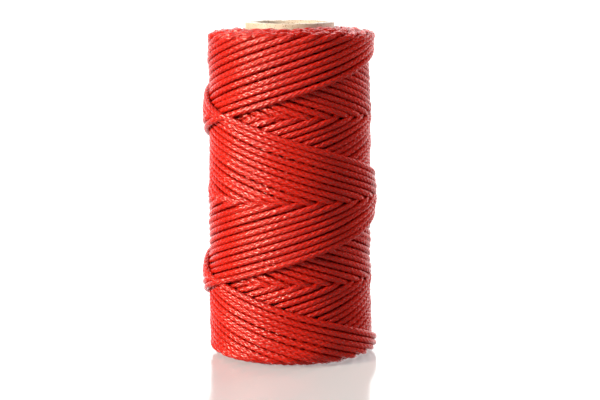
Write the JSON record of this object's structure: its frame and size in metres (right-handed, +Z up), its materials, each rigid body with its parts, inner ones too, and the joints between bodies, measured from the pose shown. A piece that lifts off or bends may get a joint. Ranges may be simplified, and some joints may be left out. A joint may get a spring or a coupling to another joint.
{
  "type": "spool of braided cord",
  "caption": "Braided cord cross-wound in wide crossing bands on a cardboard tube that stands a little proud at the top.",
  "frame": {"origin": "centre of the foot, on the surface that the spool stands on", "axes": "+Z up along the tube; -Y is the front, +X to the right seen from the front"},
  "size_m": [0.0619, 0.06, 0.1185],
  "materials": {
    "core_cardboard": "matt spiral-wound board",
    "braided_cord": "waxed red braid, soft sheen"
  },
  "bodies": {
    "root": {"core_tube": "core_cardboard", "winding": "braided_cord"}
  },
  "joints": []
}
